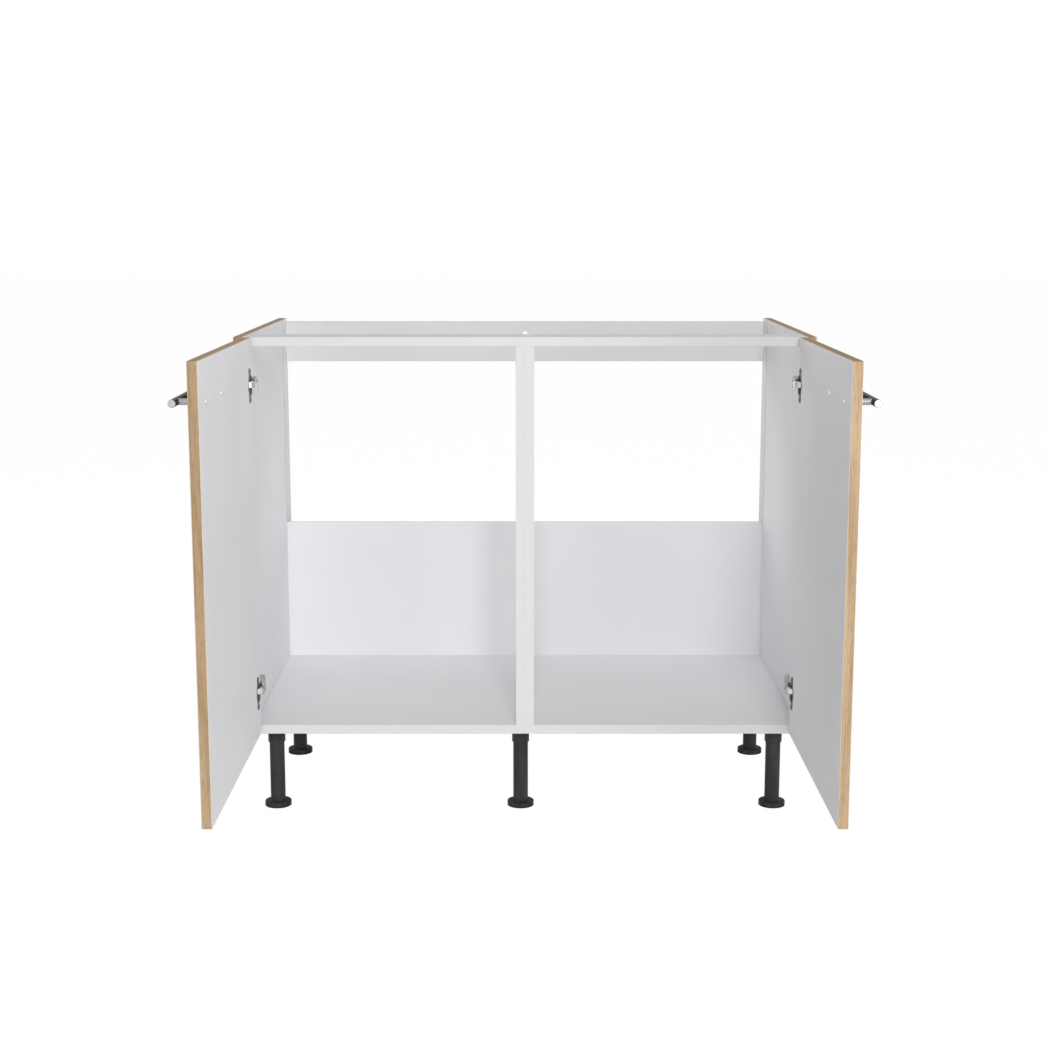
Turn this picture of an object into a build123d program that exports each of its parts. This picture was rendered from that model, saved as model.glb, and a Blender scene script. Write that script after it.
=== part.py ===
from build123d import *
import os
from cmath import exp as turn
from math import radians

os.makedirs("parts", exist_ok=True)

# ---------------------------------------------------------------------------
# Driving dimensions, in millimetres.
# X runs across the cabinet, +Y to its rear, +Z up.  While a piece is shaped,
# Y = 0 is the front plane of the carcass, Z = 0 the floor and X = 0 the middle.
# ---------------------------------------------------------------------------
CABINET_WIDTH = 1000
CARCASS_HEIGHT = 704
SIDE_DEPTH = 569
FOOT_HEIGHT = 150
BOARD = 16
EDGE_BREAK = 0.6           # broken edge of a banded board

FRONT_RAIL_DEPTH = 71
REAR_RAIL_HEIGHT = 80
REAR_RAIL_DROP = 6.5
WALL_HOLE_RADIUS = 5
WALL_HOLE_DROP = 24

BACK_THICKNESS = 3
BACK_FRONT_Y = 506
BACK_HEIGHT = 295
GROOVE_DEPTH = 7
GROOVE_WIDTH = 3.6

DOOR_WIDTH = 497
DOOR_HEIGHT = 700
DOOR_TOP_DROP = 0
DOOR_SIDE_REVEAL = 1.5
DOOR_GAP_CLOSED = 2
DOOR_EDGE_BREAK = 0.8
OPEN_DOOR_INSET = 16       # inner face of the open door, inboard of the side panel's inner face
OPEN_DOOR_FORWARD = 9      # hinge edge of the open door, in front of the carcass

HANDLE_CENTRES = 128
HANDLE_OVERHANG = 30
HANDLE_RADIUS = 6
HANDLE_STANDOFF = 28       # bar axis from the door's outer face
HANDLE_DROP = 64
HANDLE_FROM_EDGE = 57      # first hole from the opening edge
HANDLE_POST_RADIUS = 5

HINGE_FROM_END = 80
CUP_RADIUS = 17.4
CUP_WALL = 0.8
CUP_DEPTH = 13.5
CUP_FLOOR = 0.6
CUP_FROM_EDGE = 21.5
FLANGE_THICKNESS = 1.2
FLANGE_LENGTH = 59
CUP_SCREW_SPACING = 48
CUP_SCREW_OFFSET = 6
PLATE_SCREW_SPACING = 32
PLATE_SCREW_Y = 37

# pins of the hinge linkage; a cup pin is given as (distance from the door's
# hinge edge, depth below its inner face), an arm pin as (inboard of the side
# panel, behind the carcass front), all with the door at 90 degrees
OUTER_CUP_PIN = (9, 4.5)
INNER_CUP_PIN = (15.25, 4.6)
INNER_ARM_PIN = (20.2, -7.9)
OUTER_LINK_RATIO = -0.445  # turn of the outer link for one turn of the door
PIN_RADIUS = 1.2
EYE_RADIUS = 2.2
ARM_HALF_WIDTH = 7.3
ARM_SHEET = 1.0
TONGUE_HALF_WIDTH = 2.6
OUTER_LINK_HALF_WIDTH = 6.0
OUTER_LINK_SHEET = 1.1
INNER_LINK_HALF_WIDTH = 4.6
INNER_LINK_SHEET = 1.1

FOOT_X = 450
FOOT_FRONT_Y = 55
FOOT_REAR_Y = 375
CENTRE_FOOT_X = -8
FOOT_DISC_RADIUS = 24
FOOT_DISC_HEIGHT = 10
TUBE_RADIUS = 13.4
TUBE_WALL = 3
SOCKET_RADIUS = 15.5
SOCKET_HEIGHT = 30
SPINDLE_RADIUS = 10

CAM_RADIUS = 7.5
CAM_DEPTH = 12
CAM_SETBACK = 24           # cam axis from the board's end
BOLT_RADIUS = 3
BOLT_IN_SIDE = 10
DOWEL_RADIUS = 4
DOWEL_IN_SIDE = 10
DOWEL_IN_RAIL = 20

# ---------------------------------------------------------------------------
# Sizes that follow from them
# ---------------------------------------------------------------------------
HALF = CABINET_WIDTH / 2
INNER_HALF = HALF - BOARD
BOTTOM = FOOT_HEIGHT
TOP = FOOT_HEIGHT + CARCASS_HEIGHT
FLOOR_TOP = BOTTOM + BOARD
RAIL_BOTTOM = TOP - BOARD

DOOR_INNER_X = -(INNER_HALF - OPEN_DOOR_INSET)
DOOR_OUTER_X = DOOR_INNER_X - BOARD
DOOR_HINGE_Y = -OPEN_DOOR_FORWARD
DOOR_NEAR_Y = DOOR_HINGE_Y - DOOR_WIDTH
DOOR_TOP = TOP - DOOR_TOP_DROP
DOOR_BOTTOM = DOOR_TOP - DOOR_HEIGHT
HINGE_HEIGHTS = {"upper": DOOR_TOP - HINGE_FROM_END, "lower": DOOR_BOTTOM + HINGE_FROM_END}

HANDLE_Z = DOOR_TOP - HANDLE_DROP
HANDLE_HOLES_Y = (DOOR_NEAR_Y + HANDLE_FROM_EDGE, DOOR_NEAR_Y + HANDLE_FROM_EDGE + HANDLE_CENTRES)
HANDLE_AXIS_X = DOOR_OUTER_X - HANDLE_STANDOFF

# the origin stands under the middle of the whole cabinet with its doors at 90 degrees
ORIGIN_Y = (SIDE_DEPTH + DOOR_NEAR_Y) / 2

FEET = {
    "front_left": (-FOOT_X, FOOT_FRONT_Y),
    "front_middle": (CENTRE_FOOT_X, FOOT_FRONT_Y),
    "front_right": (FOOT_X, FOOT_FRONT_Y),
    "rear_left": (-FOOT_X, FOOT_REAR_Y),
    "rear_right": (FOOT_X, FOOT_REAR_Y),
}

parts = {}


# ---------------------------------------------------------------------------
# Shop tools: plain solids placed by their corners or their axis
# ---------------------------------------------------------------------------
def board(x0, x1, y0, y1, z0, z1, edge_break=0.0):
    block = Pos((x0 + x1) / 2, (y0 + y1) / 2, (z0 + z1) / 2) * Box(x1 - x0, y1 - y0, z1 - z0)
    return chamfer(block.edges(), edge_break) if edge_break else block


def rod(axis, start, end, radius):
    """A round rod or a drill, from start to end along X, Y or Z."""
    length = end[axis] - start[axis]
    middle = [(a + b) / 2 for a, b in zip(start, end)]
    lay = {0: Rot(0, 90, 0), 1: Rot(90, 0, 0), 2: Rot(0, 0, 0)}[axis]
    return Pos(*middle) * lay * Cylinder(radius, abs(length))


def rod_x(x0, x1, y, z, radius):
    return rod(0, (x0, y, z), (x1, y, z), radius)


def rod_y(x, y0, y1, z, radius):
    return rod(1, (x, y0, z), (x, y1, z), radius)


def rod_z(x, y, z0, z1, radius):
    return rod(2, (x, y, z0), (x, y, z1), radius)


def pan_head(x_face, height, radius, y, z):
    """Low tapered screw head that stands on x_face and points to +X."""
    return Pos(x_face + height / 2, y, z) * Rot(0, 90, 0) * Cone(radius, 0.72 * radius, height)


def mirrored(shape):
    return mirror(shape, about=Plane.YZ)


def group(solids):
    """Identical fasteners kept as one group of separate solids."""
    return Compound(children=[s for piece in solids for s in piece.solids()])


# ---------------------------------------------------------------------------
# Joints of the carcass: where the cams and dowels sit on the left-hand side
# ---------------------------------------------------------------------------
BOTTOM_MID_Z = BOTTOM + BOARD / 2
RAIL_MID_Z = TOP - BOARD / 2
REAR_RAIL_TOP = TOP - REAR_RAIL_DROP
REAR_RAIL_Z = REAR_RAIL_TOP - REAR_RAIL_HEIGHT / 2
REAR_RAIL_MID_Y = SIDE_DEPTH - BOARD / 2

BOTTOM_CAMS_Y = (100, 470)
BOTTOM_DOWELS_Y = (30, 285, 540)
FRONT_RAIL_CAM_Y = 46
FRONT_RAIL_DOWEL_Y = 18
REAR_RAIL_CAM_Z = REAR_RAIL_Z + 14
REAR_RAIL_DOWEL_Z = REAR_RAIL_Z - 22

BOLT_SPOTS = [(y, BOTTOM_MID_Z) for y in BOTTOM_CAMS_Y]
BOLT_SPOTS += [(FRONT_RAIL_CAM_Y, RAIL_MID_Z), (REAR_RAIL_MID_Y, REAR_RAIL_CAM_Z)]
DOWEL_SPOTS = [(y, BOTTOM_MID_Z) for y in BOTTOM_DOWELS_Y]
DOWEL_SPOTS += [(FRONT_RAIL_DOWEL_Y, RAIL_MID_Z), (REAR_RAIL_MID_Y, REAR_RAIL_DOWEL_Z)]

# pilot holes for the screws of the hinge plates
PLATE_PILOT_RADIUS = 2.5
PLATE_PILOT_DEPTH = 12


def end_drills(spots, radius, length):
    """Drills that enter the left-hand end of a board, and the same at its right-hand end."""
    left = [rod_x(-INNER_HALF - 1, -INNER_HALF + length, y, z, radius) for y, z in spots]
    return left + [mirrored(d) for d in left]


def bolt_drills(spots):
    return end_drills(spots, BOLT_RADIUS + 0.5, CAM_SETBACK)


def dowel_drills(spots):
    return end_drills(spots, DOWEL_RADIUS, DOWEL_IN_RAIL + 1)


# ---------------------------------------------------------------------------
# Side panels: oak decor outside, grooved for the back over their full height
# ---------------------------------------------------------------------------
def side_panel_left():
    panel = board(-HALF, -INNER_HALF, 0, SIDE_DEPTH, BOTTOM, TOP, EDGE_BREAK)
    groove_y = BACK_FRONT_Y - (GROOVE_WIDTH - BACK_THICKNESS) / 2
    panel -= board(-INNER_HALF - GROOVE_DEPTH, -INNER_HALF + 1, groove_y, groove_y + GROOVE_WIDTH,
                   BOTTOM - 1, TOP + 1)
    for y, z in BOLT_SPOTS:
        panel -= rod_x(-INNER_HALF - BOLT_IN_SIDE - 0.5, -INNER_HALF + 1, y, z, BOLT_RADIUS + 0.05)
    for y, z in DOWEL_SPOTS:
        panel -= rod_x(-INNER_HALF - DOWEL_IN_SIDE - 1, -INNER_HALF + 1, y, z, DOWEL_RADIUS)
    for hinge_z in HINGE_HEIGHTS.values():
        for dz in (-PLATE_SCREW_SPACING / 2, PLATE_SCREW_SPACING / 2):
            panel -= rod_x(-INNER_HALF - PLATE_PILOT_DEPTH, -INNER_HALF + 1, PLATE_SCREW_Y,
                           hinge_z + dz, PLATE_PILOT_RADIUS)
    return panel


FITTING_HOLES = [(271, TOP - 9), (427, TOP - 10), (455, TOP - 10), (483, TOP - 10)]
FITTING_HOLE_RADIUS = 2.5
FITTING_HOLE_DEPTH = 8


def side_panel_right():
    panel = mirrored(side_panel_left())
    for y, z in FITTING_HOLES:
        panel -= rod_x(INNER_HALF - 1, INNER_HALF + FITTING_HOLE_DEPTH, y, z, FITTING_HOLE_RADIUS)
    return panel


parts["side_panel_left"] = side_panel_left()
parts["side_panel_right"] = side_panel_right()


# ---------------------------------------------------------------------------
# Boards between the sides
# ---------------------------------------------------------------------------
POST_SCREW_X = 8
POST_SCREW_RADIUS = 2.4
POST_SCREW_HEAD_RADIUS = 4.2
POST_SCREW_HEAD = 3.2
POST_SCREW_LENGTH = 50
POST_SCREW_Y = FRONT_RAIL_DEPTH / 2
SPIGOT_RADIUS = 5
SPIGOT_LENGTH = 12


def cam_drills_up(spots):
    """Cam seats that open downwards, at both ends of a board that lies flat."""
    left = [rod_z(-INNER_HALF + CAM_SETBACK, y, z - BOARD / 2 - 1, z - BOARD / 2 + CAM_DEPTH + 0.5,
                  CAM_RADIUS + 0.1) for y, z in spots]
    return left + [mirrored(d) for d in left]


def post_screw(x, z_head, direction):
    """A countersunk screw on the post's axis; direction is -1 down or +1 up into the post."""
    tip = z_head + direction * POST_SCREW_LENGTH
    low, high = min(z_head, tip), max(z_head, tip)
    tilt = 0 if direction < 0 else 180
    head = Cone(POST_SCREW_RADIUS, POST_SCREW_HEAD_RADIUS, POST_SCREW_HEAD)
    head = Pos(x, POST_SCREW_Y, z_head + direction * POST_SCREW_HEAD / 2) * Rot(tilt, 0, 0) * head
    return head + rod_z(x, POST_SCREW_Y, low + 0.2, high - 0.2, POST_SCREW_RADIUS)


def bottom_panel():
    panel = board(-INNER_HALF, INNER_HALF, 0, SIDE_DEPTH, BOTTOM, FLOOR_TOP, EDGE_BREAK)
    spots = [(y, BOTTOM_MID_Z) for y in BOTTOM_CAMS_Y]
    for drill in bolt_drills(spots) + cam_drills_up(spots):
        panel -= drill
    for drill in dowel_drills([(y, BOTTOM_MID_Z) for y in BOTTOM_DOWELS_Y]):
        panel -= drill
    for x, y in FEET.values():
        panel -= rod_z(x, y, BOTTOM - 1, BOTTOM + SPIGOT_LENGTH + 0.5, SPIGOT_RADIUS + 0.05)
    panel -= post_screw(POST_SCREW_X, BOTTOM, 1)
    return panel


def front_rail():
    rail = board(-INNER_HALF, INNER_HALF, 0, FRONT_RAIL_DEPTH, RAIL_BOTTOM, TOP, EDGE_BREAK)
    spots = [(FRONT_RAIL_CAM_Y, RAIL_MID_Z)]
    for drill in bolt_drills(spots) + cam_drills_up(spots):
        rail -= drill
    for drill in dowel_drills([(FRONT_RAIL_DOWEL_Y, RAIL_MID_Z)]):
        rail -= drill
    rail -= post_screw(POST_SCREW_X, TOP, -1)
    return rail


def rear_rail():
    rail = board(-INNER_HALF, INNER_HALF, SIDE_DEPTH - BOARD, SIDE_DEPTH,
                 REAR_RAIL_TOP - REAR_RAIL_HEIGHT, REAR_RAIL_TOP, EDGE_BREAK)
    rail -= rod_y(0, SIDE_DEPTH - BOARD - 1, SIDE_DEPTH + 1, REAR_RAIL_TOP - WALL_HOLE_DROP,
                  WALL_HOLE_RADIUS)
    for drill in bolt_drills([(REAR_RAIL_MID_Y, REAR_RAIL_CAM_Z)]):
        rail -= drill
    for drill in dowel_drills([(REAR_RAIL_MID_Y, REAR_RAIL_DOWEL_Z)]):
        rail -= drill
    seat = rod_y(-INNER_HALF + CAM_SETBACK, SIDE_DEPTH - CAM_DEPTH - 0.5, SIDE_DEPTH + 1,
                 REAR_RAIL_CAM_Z, CAM_RADIUS + 0.1)
    return rail - seat - mirrored(seat)


def post_board(x0, x1):
    piece = board(x0, x1, 0, FRONT_RAIL_DEPTH, FLOOR_TOP, RAIL_BOTTOM, EDGE_BREAK / 2)
    return piece - post_screw(POST_SCREW_X, TOP, -1) - post_screw(POST_SCREW_X, BOTTOM, 1)


def back_panel():
    reach = INNER_HALF + GROOVE_DEPTH - 0.5
    return board(-reach, reach, BACK_FRONT_Y, BACK_FRONT_Y + BACK_THICKNESS,
                 FLOOR_TOP, BOTTOM + BACK_HEIGHT)


parts["bottom_panel"] = bottom_panel()
parts["front_rail"] = front_rail()
parts["rear_rail"] = rear_rail()
parts["centre_post_left_board"] = post_board(-BOARD, 0)
parts["centre_post_right_board"] = post_board(0, BOARD)
parts["back_panel"] = back_panel()


# ---------------------------------------------------------------------------
# Fasteners of the carcass
# ---------------------------------------------------------------------------
CAM_SLOT_WIDTH = 2.2
CAM_SLOT_LENGTH = 9
CAM_SLOT_DEPTH = 2


def cam_upright(y, z_mid):
    """A cam disc pushed up into a board from below, with a slot for the screwdriver."""
    x = -INNER_HALF + CAM_SETBACK
    low = z_mid - BOARD / 2
    disc = rod_z(x, y, low + 0.2, low + CAM_DEPTH, CAM_RADIUS)
    disc -= rod_x(x - CAM_RADIUS - 1, x + 1, y, z_mid, BOLT_RADIUS + 0.5)
    return disc - board(x - CAM_SLOT_LENGTH / 2, x + CAM_SLOT_LENGTH / 2,
                        y - CAM_SLOT_WIDTH / 2, y + CAM_SLOT_WIDTH / 2, low, low + CAM_SLOT_DEPTH)


def cam_flat(z):
    """The same cam, pushed into the rear rail from behind."""
    x = -INNER_HALF + CAM_SETBACK
    disc = rod_y(x, SIDE_DEPTH - CAM_DEPTH, SIDE_DEPTH - 0.2, z, CAM_RADIUS)
    disc -= rod_x(x - CAM_RADIUS - 1, x + 1, REAR_RAIL_MID_Y, z, BOLT_RADIUS + 0.5)
    return disc - board(x - CAM_SLOT_LENGTH / 2, x + CAM_SLOT_LENGTH / 2,
                        SIDE_DEPTH - CAM_SLOT_DEPTH, SIDE_DEPTH,
                        z - CAM_SLOT_WIDTH / 2, z + CAM_SLOT_WIDTH / 2)


def cam_bolt(y, z):
    """A steel bolt screwed into the side; its slimmer neck ends inside the cam."""
    head_x = -INNER_HALF + CAM_SETBACK
    shank = rod_x(-INNER_HALF - BOLT_IN_SIDE, head_x - 3, y, z, BOLT_RADIUS)
    return shank + rod_x(head_x - 3, head_x, y, z, BOLT_RADIUS * 0.6)


cams_left = [cam_upright(y, z) for y, z in BOLT_SPOTS[:-1]] + [cam_flat(REAR_RAIL_CAM_Z)]
bolts_left = [cam_bolt(y, z) for y, z in BOLT_SPOTS]
dowels_left = [rod_x(-INNER_HALF - DOWEL_IN_SIDE, -INNER_HALF + DOWEL_IN_RAIL, y, z, DOWEL_RADIUS)
               for y, z in DOWEL_SPOTS]
parts["cam_fasteners"] = group(cams_left + [mirrored(c) for c in cams_left])
parts["cam_bolts"] = group(bolts_left + [mirrored(b) for b in bolts_left])
parts["wooden_dowels"] = group(dowels_left + [mirrored(d) for d in dowels_left])
parts["post_screws"] = group([post_screw(POST_SCREW_X, TOP, -1), post_screw(POST_SCREW_X, BOTTOM, 1)])


# ---------------------------------------------------------------------------
# Adjustable feet: socket pressed into the bottom panel, tube, screwed foot
# ---------------------------------------------------------------------------
FLANGE_RADIUS = 27
FLANGE_HEIGHT = 4
FOOT_NOTCHES = 12
FOOT_NOTCH_RADIUS = 2.2
SPINDLE_TOP = 94


def foot_socket(x, y):
    """Flange, collar and press-in spigot, turned about the leg's axis."""
    bore = TUBE_RADIUS + 0.05
    profile = Polyline(
        (0, BOTTOM + SPIGOT_LENGTH), (SPIGOT_RADIUS, BOTTOM + SPIGOT_LENGTH), (SPIGOT_RADIUS, BOTTOM),
        (FLANGE_RADIUS, BOTTOM), (FLANGE_RADIUS, BOTTOM - FLANGE_HEIGHT),
        (SOCKET_RADIUS + 2.5, BOTTOM - FLANGE_HEIGHT), (SOCKET_RADIUS, BOTTOM - FLANGE_HEIGHT - 4),
        (SOCKET_RADIUS, BOTTOM - SOCKET_HEIGHT), (bore, BOTTOM - SOCKET_HEIGHT),
        (bore, BOTTOM - FLANGE_HEIGHT), (0, BOTTOM - FLANGE_HEIGHT), close=True)
    return Pos(x, y, 0) * revolve(Plane.XZ * make_face(profile), Axis.Z)


def leg_tube(x, y):
    top = BOTTOM - FLANGE_HEIGHT - 0.2
    low = FOOT_DISC_HEIGHT + 0.3
    tube = rod_z(x, y, low, top, TUBE_RADIUS)
    return tube - rod_z(x, y, low - 1, top - TUBE_WALL, TUBE_RADIUS - TUBE_WALL)


def screw_foot(x, y):
    """Foot disc in two layers with a grip groove between them, and its threaded spindle."""
    r = FOOT_DISC_RADIUS
    profile = Polyline(
        (0, 0), (r - 1.2, 0), (r, 1.2), (r, 5.4), (r - 4, 5.4), (r - 4, 6.9), (r - 1.2, 6.9),
        (r - 2.4, 9.2), (TUBE_RADIUS + 1, FOOT_DISC_HEIGHT), (SPINDLE_RADIUS, FOOT_DISC_HEIGHT),
        (SPINDLE_RADIUS, SPINDLE_TOP), (0, SPINDLE_TOP), close=True)
    foot = revolve(Plane.XZ * make_face(profile), Axis.Z)
    foot -= [Rot(0, 0, 360 / FOOT_NOTCHES * i) * rod_z(r + 0.6, 0, -1, 5.5, FOOT_NOTCH_RADIUS)
             for i in range(FOOT_NOTCHES)]
    return Pos(x, y, 0) * foot


for place, (foot_x, foot_y) in FEET.items():
    parts[f"foot_socket_{place}"] = foot_socket(foot_x, foot_y)
    parts[f"leg_tube_{place}"] = leg_tube(foot_x, foot_y)
    parts[f"screw_foot_{place}"] = screw_foot(foot_x, foot_y)


# ---------------------------------------------------------------------------
# Concealed hinge, in its own frame: x inboard of the side panel's inner face,
# y behind the carcass front, z from the hinge's middle.  The door is at 90.
# ---------------------------------------------------------------------------
def cup_pin_open(pin):
    """Where a cup pin stands with the door at 90 degrees, as a complex number x + iy."""
    from_edge, depth = pin
    return complex(OPEN_DOOR_INSET - depth, -OPEN_DOOR_FORWARD - from_edge)


def cup_pin_closed(pin):
    from_edge, depth = pin
    return complex(DOOR_SIDE_REVEAL - BOARD + from_edge, -DOOR_GAP_CLOSED - depth)


def link_centre(pin, ratio):
    """Fixed pin about which a link turns as it carries a cup pin from open to closed."""
    swing = turn(1j * radians(90 * ratio))
    return (cup_pin_closed(pin) - swing * cup_pin_open(pin)) / (1 - swing)


def as_point(number):
    return (number.real, number.imag)


OUTER_ARM_PIN = as_point(link_centre(OUTER_CUP_PIN, OUTER_LINK_RATIO))
OUTER_PIN = as_point(cup_pin_open(OUTER_CUP_PIN))
INNER_PIN = as_point(cup_pin_open(INNER_CUP_PIN))
CUP_AXIS_Y = -OPEN_DOOR_FORWARD - CUP_FROM_EDGE
CUP_MOUTH_X = OPEN_DOOR_INSET
CUP_INNER_RADIUS = CUP_RADIUS - CUP_WALL
CUP_CORNER = 2
CUP_SCREW_Y = CUP_AXIS_Y - CUP_SCREW_OFFSET
CUP_SCREW_RADIUS = 1.7
CUP_SCREW_REACH = 11
PLATE_THICKNESS = 2.5
PLATE_MIDDLE_Y = 45
PLATE_LENGTH = 44
PLATE_WIDTH = 15
PLATE_SCREW_HOLE_RADIUS = 2.5
PLATE_SCREW_DEPTH = 11
ADJUSTING_SCREWS_Y = (48, 60)
ADJUSTING_SCREW_RADIUS = 2
ADJUSTING_HEAD_RADIUS = 3.4
ADJUSTING_HEAD_X = 14.7
ARM_REAR_Y = 66
ARM_WEB_FRONT_Y = 15


def disc_at(point, radius):
    return Pos(*point) * Circle(radius)


def plate(face, z0, z1):
    return Pos(0, 0, z0) * extrude(face, z1 - z0)


def both_faces(face, z0, z1):
    """The same plate above and below the hinge's middle plane."""
    return plate(face, z0, z1) + plate(face, -z1, -z0)


def hinge_cup():
    """Drawn cup with a sloped corner at its floor, and a flange with a screw hole at each end."""
    depth, r, slope = CUP_DEPTH, CUP_RADIUS, CUP_CORNER
    shell = Polyline(
        (0, -depth), (r - slope, -depth), (r, -depth + slope), (r, 0), (CUP_INNER_RADIUS, 0),
        (CUP_INNER_RADIUS, -depth + slope), (r - slope, -depth + CUP_FLOOR), (0, -depth + CUP_FLOOR),
        close=True)
    bowl = revolve(Plane.XZ * make_face(shell), Axis.Z)
    bowl = Pos(CUP_MOUTH_X, CUP_AXIS_Y, 0) * Rot(0, 90, 0) * bowl
    outline = Circle(CUP_RADIUS + 1.4)
    outline += Pos(-CUP_SCREW_OFFSET, 0) * RectangleRounded(13, FLANGE_LENGTH, 4)
    outline -= Circle(CUP_INNER_RADIUS)
    flange = Plane.YZ * outline
    cup = bowl + Pos(CUP_MOUTH_X, CUP_AXIS_Y, 0) * extrude(flange, FLANGE_THICKNESS)
    for z in (-CUP_SCREW_SPACING / 2, CUP_SCREW_SPACING / 2):
        cup -= rod_x(CUP_MOUTH_X - 1, CUP_MOUTH_X + 3, CUP_SCREW_Y, z, CUP_SCREW_RADIUS + 0.2)
    return cup - rod_z(*OUTER_PIN, -CUP_RADIUS, CUP_RADIUS, PIN_RADIUS)


def hinge_cup_pin():
    """Riveted into the cup's wall at both ends, and flush with the wall's outside."""
    far_side = CUP_FROM_EDGE - OUTER_CUP_PIN[0] + PIN_RADIUS
    half = (CUP_RADIUS ** 2 - far_side ** 2) ** 0.5
    return rod_z(*OUTER_PIN, -half, half, PIN_RADIUS - 0.02)


def hinge_cup_screws():
    face = CUP_MOUTH_X + FLANGE_THICKNESS
    return [pan_head(face, 1.6, 3.6, CUP_SCREW_Y, z)
            + rod_x(CUP_MOUTH_X - CUP_SCREW_REACH, face, CUP_SCREW_Y, z, CUP_SCREW_RADIUS)
            for z in (-CUP_SCREW_SPACING / 2, CUP_SCREW_SPACING / 2)]


def hinge_arm():
    """Pressed channel whose walls hold the rear pin, with a tongue that reaches the front pin."""
    outline = make_face(Polyline(
        (3.2, ARM_REAR_Y), (14, ARM_REAR_Y), (14.6, 42), (21.2, 22), (22.6, 12), (21.5, 8),
        (16.2, 8), (12, 20), (3.2, 26), close=True))
    wall = outline + disc_at(OUTER_ARM_PIN, EYE_RADIUS + 1)
    wall -= disc_at(OUTER_ARM_PIN, PIN_RADIUS)
    arm = both_faces(wall, ARM_HALF_WIDTH - ARM_SHEET, ARM_HALF_WIDTH)
    web = make_face(Polyline(
        (14, ARM_REAR_Y), (14.6, 42), (21.2, 22), (22.3, ARM_WEB_FRONT_Y), (21.0, ARM_WEB_FRONT_Y),
        (20.1, 21.6), (13.4, 41.7), (12.8, ARM_REAR_Y), close=True))
    arm += plate(web, -ARM_HALF_WIDTH, ARM_HALF_WIDTH)
    front_x, front_y = INNER_ARM_PIN
    tongue = make_face(Polyline(
        (21.2, 22), (22.6, 12), (front_x + EYE_RADIUS, front_y), (front_x - EYE_RADIUS, front_y),
        (20.4, 2), (21.0, 16), (20.1, 21.6), close=True))
    tongue += disc_at(INNER_ARM_PIN, EYE_RADIUS)
    tongue -= disc_at(INNER_ARM_PIN, PIN_RADIUS)
    arm += plate(tongue, -TONGUE_HALF_WIDTH, TONGUE_HALF_WIDTH)
    for y in ADJUSTING_SCREWS_Y:
        arm -= rod_x(8, 20, y, 0, ADJUSTING_SCREW_RADIUS + 0.1)
    return arm


def hinge_plate():
    """Cross-shaped mounting plate with the raised rib that the arm straddles."""
    rib_half = ARM_HALF_WIDTH - ARM_SHEET - 0.3
    base = RectangleRounded(PLATE_LENGTH, PLATE_WIDTH, 3)
    wings = RectangleRounded(12, PLATE_SCREW_SPACING + 12, 4)
    outline = base + Pos(PLATE_SCREW_Y - PLATE_MIDDLE_Y, 0) * wings
    body = Pos(0, PLATE_MIDDLE_Y, 0) * extrude(Plane.YZ * outline, PLATE_THICKNESS)
    body += board(PLATE_THICKNESS, 11.5, 27, 65, -rib_half, rib_half)
    body -= board(8, 12, 26, 40, -rib_half - 1, rib_half + 1)
    for z in (-PLATE_SCREW_SPACING / 2, PLATE_SCREW_SPACING / 2):
        body -= rod_x(-1, 4, PLATE_SCREW_Y, z, PLATE_SCREW_HOLE_RADIUS)
        body -= Pos(1.7, PLATE_SCREW_Y, z) * Rot(0, 90, 0) * Cone(2.4, 4.1, 1.8)
    for y in ADJUSTING_SCREWS_Y:
        body -= rod_x(5, 13, y, 0, ADJUSTING_SCREW_RADIUS + 0.02)
    return body


def hinge_plate_screws():
    """Countersunk screws from the plate into the side panel."""
    return [Pos(1.7, PLATE_SCREW_Y, z) * Rot(0, 90, 0) * Cone(2.3, 4.0, 1.6)
            + rod_x(-PLATE_SCREW_DEPTH, 2, PLATE_SCREW_Y, z, 2.3)
            for z in (-PLATE_SCREW_SPACING / 2, PLATE_SCREW_SPACING / 2)]


def hinge_adjusting_screws():
    return [rod_x(ADJUSTING_HEAD_X, ADJUSTING_HEAD_X + 1.5, y, 0, ADJUSTING_HEAD_RADIUS)
            + rod_x(6, ADJUSTING_HEAD_X, y, 0, ADJUSTING_SCREW_RADIUS) for y in ADJUSTING_SCREWS_Y]


def hinge_arm_pins():
    """A long pin through the arm's walls, and a short one that stays between the outer link's ears."""
    ends = ((OUTER_ARM_PIN, ARM_HALF_WIDTH), (INNER_ARM_PIN, INNER_LINK_HALF_WIDTH))
    return [rod_z(*pin, -half, half, PIN_RADIUS - 0.02) for pin, half in ends]


def outer_link():
    """Goose-necked stamping: two ears that hook round the cup's rim, joined by a short web."""
    neck = Bezier(OUTER_ARM_PIN, (26.3, -10.5), (21.7, -25.3), OUTER_PIN)
    ear = trace(neck, line_width=2 * 1.5) + disc_at(OUTER_ARM_PIN, EYE_RADIUS + 0.4)
    ear += disc_at(OUTER_PIN, EYE_RADIUS)
    ear -= disc_at(OUTER_ARM_PIN, PIN_RADIUS + 0.05)
    ear -= disc_at(OUTER_PIN, PIN_RADIUS + 0.05)
    inner_face = OUTER_LINK_HALF_WIDTH - OUTER_LINK_SHEET
    link = both_faces(ear, inner_face, OUTER_LINK_HALF_WIDTH)
    web = make_face(Polyline((16.0, 10.6), (17.2, 9.4), (19.6, 4.0), (18.4, 3.6), close=True))
    return link + plate(web, -OUTER_LINK_HALF_WIDTH, OUTER_LINK_HALF_WIDTH)


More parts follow.
